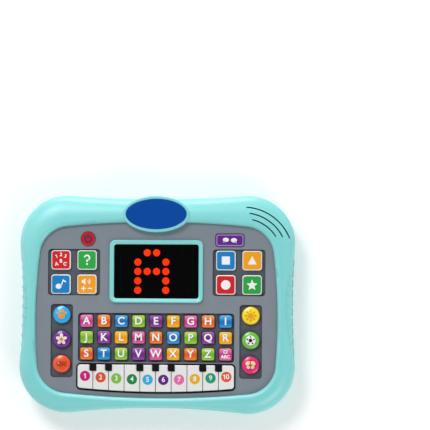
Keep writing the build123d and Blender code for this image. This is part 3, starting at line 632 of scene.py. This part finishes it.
def word(name, node, letters, height, dx=0.0, dy=0.0, bold=0.3, turn=0.0, pot="white", layer=1):
    """Letters of a height in millimetres, centred on a node's top."""
    text = bpy.data.curves.new(name, "FONT")
    text.body = letters
    text.size = height * MM / CAPITAL
    text.align_x = "CENTER"
    text.align_y = "CENTER"
    text.extrude = PRINT / 2
    text.offset = bold * MM / 2
    text.resolution_u = 5
    printed_on(node, solid_from(text, name, top_of(node, dx, dy, layer), PRINT, turn), pot)


print("a capital of 6.5 mm needs a nominal size of", round(6.5 / CAPITAL, 1), "mm")

# %% [markdown]
# Every letter key carries a white capital over a darker one, which lies a third of a millimetre lower and
# to the right. The pair reads as a raised letter, where a truly raised one would catch light on its sides.

# %% Letters on the keys
LETTER_HEIGHT = 6.5
LETTER_BOLD = 0.5
SHADOW = (0.3, -0.35)    # where the darker letter lies, mm to the right and up
for node, tint in key_tints.items():
    letter = node[-1].upper()
    word("shadow_" + letter, node, letter, LETTER_HEIGHT, *SHADOW, LETTER_BOLD, pot=tint + " shade",
         layer=0)
    word("letter_" + letter, node, letter, LETTER_HEIGHT, bold=LETTER_BOLD)
print("letters and shadows:", len(prints))

# %% [markdown]
# Each square button gets its field of colour, 15.7 mm on a cap of 17.3 mm. That leaves a white border of
# 0.8 mm. The field is a plate rather than a pattern in the shader, because its edge has to be crisp.

# %% Colour on the square buttons
FIELD, FIELD_CORNER = 15.7, 2.1
for node in SQUARE_BUTTONS:
    printed_on(node, plate("field_" + node, [rounded(FIELD, FIELD, FIELD_CORNER)], top_of(node)),
               node.replace("_", " "))
print("fields:", len(SQUARE_BUTTONS))

# %% [markdown]
# The right block teaches shapes, so its signs are the plain shapes themselves. A star could be typed in
# point by point. Two radii that take turns, ten points round, keep it regular.

# %% Shapes on the right block
sign("sign_square", "square_button", [rounded(7.2, 7.2, 0.4)])
sign("sign_triangle", "triangle_button", [polygon([(-4.0, -3.4), (4.0, -3.4), (0, 4.0)])])
sign("sign_circle", "circle_button", [circle(4.2)])
star = [(r * math.sin(math.pi * i / 5), r * math.cos(math.pi * i / 5)) for i, r in enumerate((5.2, 2.3) * 5)]
sign("sign_star", "star_button", [polygon(star)], 0, -0.2)
print("prints so far:", len(prints))

# %% [markdown]
# The left block chooses what the tablet does. Learning is numbers and letters tossed in two arcs. A quiz
# is a question mark: a hook from an open ring, a short stem and a dot. The font's 1 is a bare bar, so a 1
# with a flag is drawn here, as on toys.

# %% Learning and quiz
ONE = [(-0.15, -2.1), (0.7, -2.1), (0.7, 2.1), (0.0, 2.1), (-1.15, 1.3), (-0.8, 0.6), (-0.15, 1.05)]
ONE_SIZE, ONE_LEAN = 0.72, 0.2           # on the learning button the 1 is smaller and leans
TOSSED = (("2", 0.0, 4.7, 0.0), ("3", 3.9, 3.2, -0.35), ("A", -3.9, -3.6, 0.2), ("B", 0.0, -1.0, 0.0),
          ("C", 3.6, -3.6, -0.2))
for mark, x, y, turn in TOSSED:
    word("learn_" + mark, "learn_button", mark, 3.0, x, y, 0.3, turn)
sign("learn_1", "learn_button",
     [polygon([(ONE_SIZE * x - ONE_LEAN * y, 0.75 * ONE_LEAN * x + ONE_SIZE * y) for x, y in ONE])],
     -4.1, 3.2)
sign("quiz_hook", "quiz_button", [arc_band(2.2, 1.4, -62, 172)], 0.0, 2.0)
sign("quiz_stem", "quiz_button", [polygon([(-0.7, -1.5), (0.7, -1.5), (0.8, -0.1), (1.6, 0.5), (0.6, 1.0),
                                            (-0.3, 0.7), (-0.7, 0.0)])], 0.0, -0.2)
sign("quiz_dot", "quiz_button", [circle(0.9)], 0.0, -3.6)
print("prints so far:", len(prints))

# %% [markdown]
# Music is an eighth note: an oval head, and a stem with its flag in one outline. Volume is a small
# loudspeaker with two waves over a plus and a minus. The font has no such signs, and these few corners
# are listed one by one.

# %% Music and volume
sign("note_head", "music_button", [circle(2.7, squash=0.85)], -2.0, -1.9)
sign("note_stem", "music_button", [polygon([(-0.2, -1.4), (0.7, -1.8), (2.2, 2.6), (4.5, 1.5), (4.8, 2.4),
                                            (1.9, 4.5)])])
sign("volume_cone", "volume_button", [polygon([(-4.6, 1.2), (-3.2, 1.2), (-1.2, -0.6), (-1.2, 5.4),
                                               (-3.2, 3.7), (-4.6, 3.7)])])
for radius in (1.4, 3.0):
    sign(f"volume_wave_{radius:.0f}", "volume_button", [arc_band(radius, 0.7, -50, 50, 12)], -0.1, 2.4)
PLUS = [(-2.2, -0.5), (-0.5, -0.5), (-0.5, -2.2), (0.5, -2.2), (0.5, -0.5), (2.2, -0.5), (2.2, 0.5),
        (0.5, 0.5), (0.5, 2.2), (-0.5, 2.2), (-0.5, 0.5), (-2.2, 0.5)]
sign("volume_plus", "volume_button", [polygon(PLUS)], -3.0, -3.7)
sign("volume_minus", "volume_button", [polygon([(-2.0, -0.5), (2.0, -0.5), (2.0, 0.5), (-2.0, 0.5)])],
     2.9, -3.7)
print("prints so far:", len(prints))

# %% [markdown]
# The small buttons and the 27th key carry plain signs: a broken ring with a bar for power, two speech
# bubbles in a pale frame for the language, and a small screen over three letters for the key's mode. A
# second outline inside the first is a hole, which is all that the frame and the screen need.

# %% Power, language and mode
sign("power_ring", "power_button", [arc_band(2.9, 1.3, 125, 415)], pot="navy")
sign("power_bar", "power_button", [polygon([(-0.65, 0.4), (0.65, 0.4), (0.65, 4.2), (-0.65, 4.2)])],
     pot="navy")
sign("language_border", "language_button", [rounded(23.9, 9.9, 2.0), rounded(22.5, 8.5, 1.5)], pot="lilac")
for name, x, y, way in (("left", -3.6, 0.4, -1), ("right", 3.6, 0.0, 1)):
    sign("bubble_" + name, "language_button", [circle(2.7, squash=0.72)], x, y)
    sign("bubble_tail_" + name, "language_button",
         [polygon([(0.2 * way, -1.2), (1.8 * way, -0.9), (2.3 * way, -2.8)])], x, y)
sign("mode_screen", "key_mode", [rounded(3.4, 3.0, 0.3), rounded(2.1, 1.7, 0.2)], 0, 2.4)
word("mode_letters", "key_mode", "ABC", 2.9, 0, -2.1, 0.3)
print("prints so far:", len(prints))

# %% [markdown]
# The round buttons are domed, and their pictures follow the dome as pad printing does. A flat plate
# would cut through it, so each ellipse is a fan of rings whose points are dropped onto the sphere.

# %% Prints that follow a dome
DOME_RADIUS = 7.3        # of the domed part of a button, mm
DOME_RISE = 1.4
SPHERE = (DOME_RADIUS ** 2 + DOME_RISE ** 2) / (2 * DOME_RISE)
FILM, NEXT_FILM = 0.02, 0.025            # mm: the first film of ink above the dome, and each film after it


def dome_patch(name, node, pot, x, y, wide, tall, turn=0.0, layer=0, rings=5, around=28):
    """An ellipse printed on a dome: place, half sizes in millimetres and turn."""
    top = top_of(node)
    vertices, faces = [], []
    for ring in range(rings + 1):
        for i in range(around):
            a = 2 * math.pi * i / around
            u, v = ring / rings * wide * math.cos(a), ring / rings * tall * math.sin(a)
            px = x + u * math.cos(turn) - v * math.sin(turn)
            py = y + u * math.sin(turn) + v * math.cos(turn)
            drop = SPHERE - math.sqrt(SPHERE ** 2 - px ** 2 - py ** 2)
            vertices.append(top + Vector((px, py, FILM + NEXT_FILM * layer - drop)) * MM)
    for ring in range(rings):
        for i in range(around):
            a, b, j = ring * around, (ring + 1) * around, (i + 1) % around
            faces.append((a + i, b + i, b + j, a + j) if ring else (i, b + i, b + j))
    mesh = bpy.data.meshes.new(name)
    mesh.from_pydata(vertices, [], faces)
    piece = bpy.data.objects.new(name, mesh)
    bpy.context.scene.collection.objects.link(piece)
    printed_on(node, piece, pot)


print("the dome is part of a sphere of radius", round(SPHERE, 1), "mm")

# %% [markdown]
# Six small pictures from ellipses alone: a paw, a flower, a fish, a sun, a spotted ball and a butterfly.
# Free curves would draw them more closely, but ellipses drop onto a dome cleanly and stay readable at the
# size of a fingertip. Rows of the same part, such as petals or rays, are spread round a circle.

# %% Pictures on the round buttons
def spread(pot, count, radius, wide, tall, y=0.0, start=0.0, gap=None):
    """The same ellipse several times round a circle, each pointing outwards."""
    gap = gap or 2 * math.pi / count
    turns = [start + i * gap for i in range(count)]
    return [(pot, radius * math.sin(a), y + radius * math.cos(a), wide, tall, -a) for a in turns]


PICTURES = {
    "sky_button": [("honey", 0, -1.4, 2.9, 2.3, 0)] + spread("honey", 4, 4.1, 1.05, 1.5, -1.0, -0.95, 0.63),
    "purple_button": spread("cream", 5, 3.0, 1.5, 2.2) + [("pumpkin", 0, 0, 1.5, 1.5, 0)],
    "orange_button": [("rust", -0.6, 0, 3.9, 2.3, 0), ("rust", 3.7, 1.1, 1.6, 0.8, 0.7),
                      ("rust", 3.7, -1.1, 1.6, 0.8, -0.7), ("straw", -2.4, 0.6, 0.55, 0.55, 0)],
    "yellow_button": spread("pumpkin", 8, 4.1, 0.55, 1.3) + [("honey", 0, 0, 2.3, 2.3, 0)],
    "green_button": [("white", 0, 0, 4.4, 4.4, 0), ("black", 0, 0, 1.7, 1.7, 0)]
    + spread("black", 5, 3.1, 0.75, 0.75),
    "magenta_button": [("butter", -2.3, 1.7, 2.3, 1.7, 0.6), ("butter", 2.3, 1.7, 2.3, 1.7, -0.6),
                       ("butter", -1.9, -1.8, 1.7, 1.4, -0.6), ("butter", 1.9, -1.8, 1.7, 1.4, 0.6),
                       ("tan", 0, 0, 0.6, 3.0, 0)]}
for node, patches in PICTURES.items():
    for i, (pot, x, y, wide, tall, turn) in enumerate(patches):
        dome_patch(f"{node}_print_{i}", node, pot, x, y, wide, tall, turn, layer=i)
    print(node, "picture of", len(patches), "patches")

# %% [markdown]
# Ten discs number the piano keys, each in the colour of its note. They follow the bow of the front edge:
# the middle ones lie 3 mm lower than the two at the ends, and a parabola gives the rest. The 1 and the
# first figure of 10 are the flagged 1 again.

# %% Numbered discs on the piano
DISCS = ("magenta", "vermilion", "grass", "forest", "sky", "violet", "rose", "sunflower", "sea", "coral")
PIANO_PITCH = 14.0
DISC, DIGIT, DIGIT_BOLD = 4.6, 4.3, 0.2  # radius of a disc, height and extra weight of its number
DISC_ROW, DISC_BOW = -64.0, 3.0          # y of the outer discs, and how much lower the middle ones lie
OUTERMOST = 4.5 * PIANO_PITCH
piano_y = top_of("piano_keys").y / MM
for i, pot in enumerate(DISCS):
    x = (i - 4.5) * PIANO_PITCH
    y = DISC_ROW - DISC_BOW * (1 - (x / OUTERMOST) ** 2) - piano_y
    sign(f"disc_{i + 1}", "piano_keys", [circle(DISC)], x, y, pot, layer=0)
    if i in (0, 9):
        sign(f"number_one_{i + 1}", "piano_keys", [polygon(ONE)], x - (1.8 if i else 0.0), y, layer=2)
    if i:
        word(f"number_{i + 1}", "piano_keys", str(i + 1)[-1], DIGIT, x + (1.1 if i == 9 else 0.0), y,
             DIGIT_BOLD, layer=2)
print("discs:", len(DISCS))

# %% [markdown]
# The module behind the window has 7 columns and 5 rows of dots. Twelve are lit and draw a capital A. A
# lens spreads the light of its diode, so each dot is even across and falls off at its rim. Twelve lamps
# would be slow and grainy, so the dots themselves give off light. It passes two faces of smoked plastic,
# so they are nine times as bright as the red that is seen.

# %% Lit dots
COLUMNS, ROWS = 7, 5
LIT = ((2, 0), (3, 0), (1, 1), (4, 1), (1, 2), (2, 2), (3, 2), (4, 2), (1, 3), (4, 3), (1, 4), (4, 4))
DOT_PITCH = 8.35
DOT_RADIUS, DOT_HEIGHT, DOT_LIFT = 3.25, 0.03, 0.01
LENS_GRAIN = 2.5
LAMP_STRENGTH = 9.0


def lit_lens():
    """Clear epoxy lit red from behind, dimmer at its rim."""
    tree, close = new_material("epoxy_lens_lit_red")
    spot = add(tree, "ShaderNodeTexCoord").outputs
    grain = add(tree, "ShaderNodeTexNoise", {"Vector": spot["Object"], "Scale": 1 / (LENS_GRAIN * MM),
                                             "Detail": 3.0})
    glow = add(tree, "ShaderNodeMix", {FACTOR: grain, FIRST: "FF2A08", SECOND: "FF3E10"}, data_type="RGBA")
    rim = add(tree, "ShaderNodeMapRange", {"Value": from_axis(tree, spot), "From Min": 0.24,
                                           "From Max": 0.5}, interpolation_type="SMOOTHSTEP")
    tone = add(tree, "ShaderNodeMix", {FACTOR: rim, FIRST: glow, SECOND: "5E0502"}, data_type="RGBA")
    return close(add(tree, "ShaderNodeBsdfPrincipled",
                     {"Base Color": "B01408", "Roughness": 0.4, "IOR": ABS_IOR,
                      "Emission Color": tone, "Emission Strength": LAMP_STRENGTH}))


red_lens = lit_lens()
for column, row in LIT:
    base = top_of("led_matrix", (column - COLUMNS // 2) * DOT_PITCH, (ROWS // 2 - row) * DOT_PITCH)
    base.z += DOT_LIFT * MM
    printed_on("led_matrix", plate(f"lit_dot_{column}_{row}", [circle(DOT_RADIUS, 12)], base,
                                   DOT_HEIGHT * MM), red_lens)
print("prints and dots in all:", len(prints))

# %% [markdown]
# A product picture is taken with a long lens from far away, so that the sides hardly splay. This camera
# stands two metres above the face and a little to the right. It is set up by three small turns about the
# middle of the face, and the lens is shifted, as a view camera's is, to place the tablet in the frame.

# %% Camera
TILT, YAW, ROLL = -0.55, -4.8, -0.32     # degrees
DISTANCE = 2.0                           # metres
LENS, SENSOR = 188.3, 36.0               # mm
SHIFT = (0.137, 0.2058)                  # in widths of the frame


def camera():
    """A shifted long-lens camera above the face."""
    tilt, yaw, roll = (math.radians(angle) for angle in (TILT, YAW, ROLL))
    turn = (Matrix.Rotation(roll, 3, "Z") @ Matrix.Rotation(yaw, 3, "Y")
            @ Matrix.Rotation(tilt, 3, "X")).transposed()
    target = Vector((0, 0.8 * MM, deck_top))
    data = bpy.data.cameras.new("camera")
    data.lens = LENS
    data.sensor_width = SENSOR
    data.shift_x, data.shift_y = SHIFT
    data.clip_start = 0.05
    eye = bpy.data.objects.new("camera", data)
    eye.matrix_world = Matrix.Translation(target + turn @ Vector((0, 0, DISTANCE))) @ turn.to_4x4()
    bpy.context.scene.collection.objects.link(eye)
    bpy.context.scene.camera = eye
    print("camera at", [round(c, 3) for c in eye.matrix_world.translation])


camera()

# %% [markdown]
# The tablet lies on white paper. Paper is rough and hardly shines. To the camera alone it glows a little,
# which keeps it white round the tablet and leaves the soft shadow without any more light on the plastic.

# %% What the lens sees
def seen_by_lens(tree):
    """1 for rays from the camera and for mirrored or passed rays, 0 for rays that carry light."""
    rays = add(tree, "ShaderNodeLightPath").outputs
    seen = rays["Is Camera Ray"]
    for kind in ("Is Glossy Ray", "Is Transmission Ray"):
        seen = add(tree, "ShaderNodeMath", {0: seen, 1: rays[kind]}, operation="MAXIMUM")
    return seen


print("dim for rays that carry light, bright for the lens, mirrors and clear plastic")

# %% [markdown]
# Close to the tablet the paper glows less, because the shadow has to stay dark there. The glow grows
# outwards in rings of the tablet's own proportions. Paper is felted fibre, so two whites speckle it
# every 3 mm.

# %% White paper
NEAR_GLOW, FAR_GLOW = 0.16, 0.55
NEAR_RING, FAR_RING = 1.3, 2.6           # in half sizes of the tablet
PAPER_GRAIN = 3                          # mm


def white_paper():
    """Rough paper that glows a little more the farther it lies from the tablet."""
    tree, close = new_material("paper_white")
    place = add(tree, "ShaderNodeTexCoord").outputs["Object"]
    grain = add(tree, "ShaderNodeTexNoise", {"Vector": place, "Scale": 1 / (PAPER_GRAIN * MM), "Detail": 3.0})
    tone = add(tree, "ShaderNodeMix", {FACTOR: grain, FIRST: "FFFFFF", SECOND: "FAFAFA"}, data_type="RGBA")
    paper = add(tree, "ShaderNodeBsdfPrincipled",
                {"Base Color": tone, "Roughness": 0.9, "Specular IOR Level": 0.1})
    reach = add(tree, "ShaderNodeMapping", {"Vector": place, "Scale": [1 / c for c in cad_box[1]]})
    rings = add(tree, "ShaderNodeVectorMath", {0: reach}, operation="LENGTH")
    edge = add(tree, "ShaderNodeMapRange", {"Value": rings, "From Min": NEAR_RING, "From Max": FAR_RING},
               interpolation_type="SMOOTHSTEP")
    glow = add(tree, "ShaderNodeMapRange", {"Value": edge, "To Min": NEAR_GLOW, "To Max": FAR_GLOW})
    strength = add(tree, "ShaderNodeMath", {0: seen_by_lens(tree), 1: glow}, operation="MULTIPLY")
    lift = add(tree, "ShaderNodeEmission", {"Color": (1, 1, 1, 1), "Strength": strength})
    return close(add(tree, "ShaderNodeAddShader", {0: paper, 1: lift}))


print("the paper's glow grows from", NEAR_GLOW, "to", FAR_GLOW)

# %% [markdown]
# One square sheet makes the floor. It is wide enough that no view from above sees its edge, and it is
# marked as stage, which keeps it out of the tablet's size.

# %% Floor
FLOOR_HALF = 6.0                         # metres


def floor(half):
    """A square sheet under the tablet."""
    mesh = bpy.data.meshes.new("floor")
    mesh.from_pydata([(-half, -half, 0), (half, -half, 0), (half, half, 0), (-half, half, 0)], [],
                     [(0, 1, 2, 3)])
    mesh.materials.append(white_paper())
    piece = bpy.data.objects.new("floor", mesh)
    bpy.context.scene.collection.objects.link(piece)
    piece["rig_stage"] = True


floor(FLOOR_HALF)
print("paper floor", 2 * FLOOR_HALF, "m wide")

# %% [markdown]
# Flat glossy tops mirror whatever hangs above them. A white room would wash the badge and the keys out,
# so a studio keeps the ceiling dim and lets the walls give the light. The world does the same here: its
# strength falls towards the zenith. To the camera, and in reflections, its walls are plain white.

# %% Room
WALL_LIGHT, CEILING_LIGHT = 0.62, 0.06
WALL_TOP, CEILING = 0.72, 0.96           # heights on a unit sphere: the walls end, the ceiling starts


def room():
    """A world with plain walls and a dim ceiling."""
    world = bpy.data.worlds.new("studio")
    world.use_nodes = True
    tree = world.node_tree
    tree.nodes.clear()
    way = add(tree, "ShaderNodeTexCoord").outputs["Generated"]
    height = add(tree, "ShaderNodeSeparateXYZ", {0: way}).outputs["Z"]
    walls = add(tree, "ShaderNodeMapRange", {"Value": seen_by_lens(tree), "To Min": WALL_LIGHT,
                                             "To Max": 1.0})
    overhead = add(tree, "ShaderNodeMapRange", {"Value": height, "From Min": WALL_TOP, "From Max": CEILING},
                   interpolation_type="SMOOTHSTEP")
    strength = add(tree, "ShaderNodeMapRange", {"Value": overhead, "To Min": walls, "To Max": CEILING_LIGHT})
    glow = add(tree, "ShaderNodeBackground", {"Color": (1, 1, 1, 1), "Strength": strength})
    tree.links.new(glow.outputs[0], add(tree, "ShaderNodeOutputWorld").inputs[0])
    bpy.context.scene.world = world


room()
print("walls at", WALL_LIGHT, "and ceiling at", CEILING_LIGHT)

# %% [markdown]
# Three soft boxes finish the light. The key light stands behind the tablet and to the left, halfway up
# the sky, and drops a soft shadow to the lower right. A long flat one, low behind the upper edge, draws
# the bright line along the crown of the rim. It stays low and flat so that the display mirrors it in
# grazing views alone. A wide weak one opposite keeps the near side open.

# %% Soft boxes
def soft_box(name, place, size, watts, height=None):
    """A soft box that faces the tablet, square unless it has a height of its own."""
    data = bpy.data.lights.new(name, "AREA")
    data.shape = "RECTANGLE"
    data.size, data.size_y = size, height or size
    data.energy = watts
    lamp = bpy.data.objects.new(name, data)
    lamp.location = place
    lamp.rotation_euler = (-Vector(place)).to_track_quat("-Z", "Y").to_euler()
    bpy.context.scene.collection.objects.link(lamp)
    print(name, watts, "W,", size, "m wide")


soft_box("key_light", (-0.55, 1.05, 1.3), 0.6, 12)
soft_box("back_light", (-0.2, 1.9, 0.22), 0.8, 14, height=0.25)
soft_box("fill_light", (0.8, -1.0, 1.0), 0.8, 7)
bpy.context.scene.view_settings.view_transform = "Standard"

# %% [markdown]
# Prints are thin, so the dressed tablet must fill the same box as the bare model.

# %% Size and finish
boxes = [[list(map(float, corner)) for corner in box] for box in (cad_box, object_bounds())]
print("size of the dressed tablet in mm:", [round((b - a) / MM, 1) for a, b in zip(*boxes[1])])
